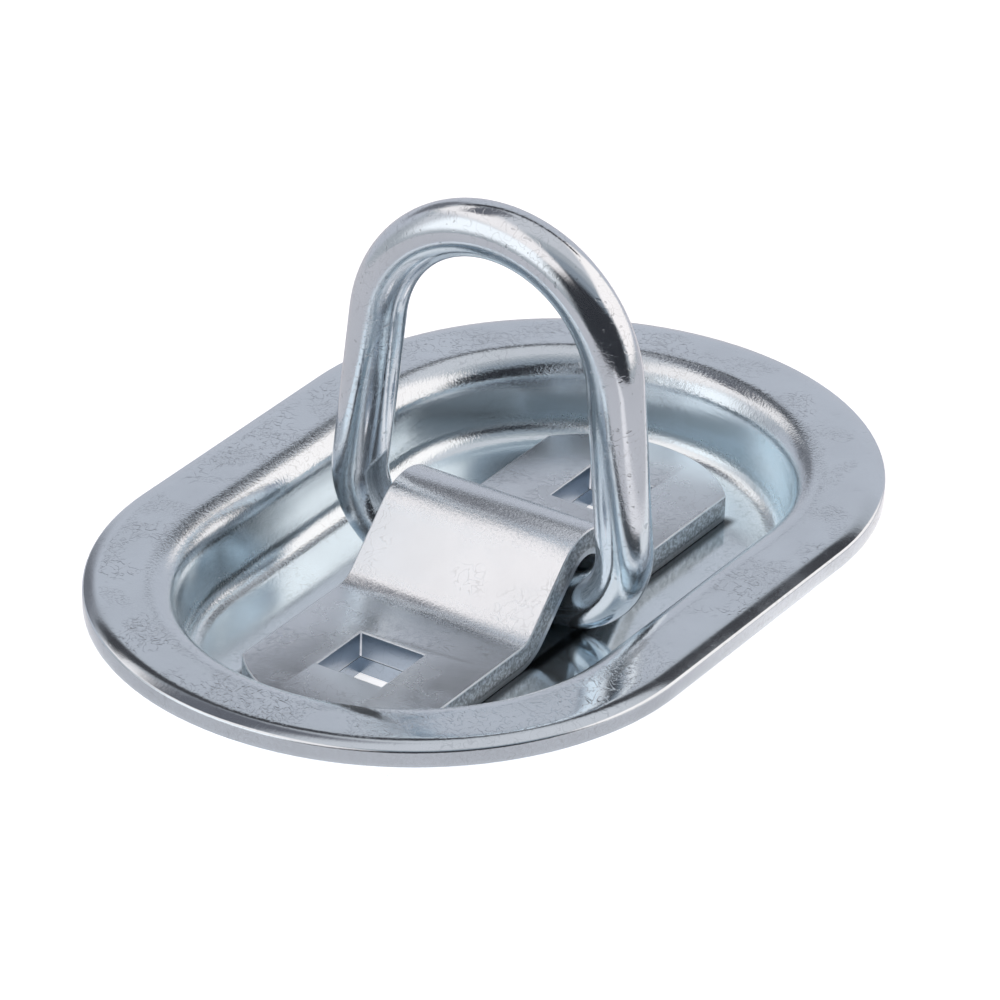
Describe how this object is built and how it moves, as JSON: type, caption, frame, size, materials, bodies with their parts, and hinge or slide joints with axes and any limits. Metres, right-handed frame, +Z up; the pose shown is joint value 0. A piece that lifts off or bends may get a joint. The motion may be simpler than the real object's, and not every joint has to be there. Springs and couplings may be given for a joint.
{
  "type": "recessed tie-down anchor",
  "caption": "Oval pressed-steel pan with a flange round it, a bent flat-bar strap across its floor and a folding D-shaped lashing ring under the strap.",
  "frame": {"origin": "middle of the pan's flat underside, at the height of that underside", "axes": "+Z up out of the pan, +X along the pan's and the strap's length, +Y across them, along the ring's foot bar"},
  "size_m": [0.1298, 0.087, 0.0632],
  "materials": {
    "zinc_pan": "bright zinc plate, satin, finely scratched",
    "zinc_strap": "bright zinc plate, satin, grained at the bends",
    "zinc_ring": "bright zinc plate, smooth"
  },
  "bodies": {
    "base": {"pan": "zinc_pan", "strap": "zinc_strap"},
    "ring": {"ring": "zinc_ring"}
  },
  "joints": [
    {"name": "ring_swing", "type": "hinge", "parent": "base", "child": "ring", "pos_m": [0, 0, 0.0067], "axis": [0, 1, 0], "range_deg": [-77, 77]}
  ]
}
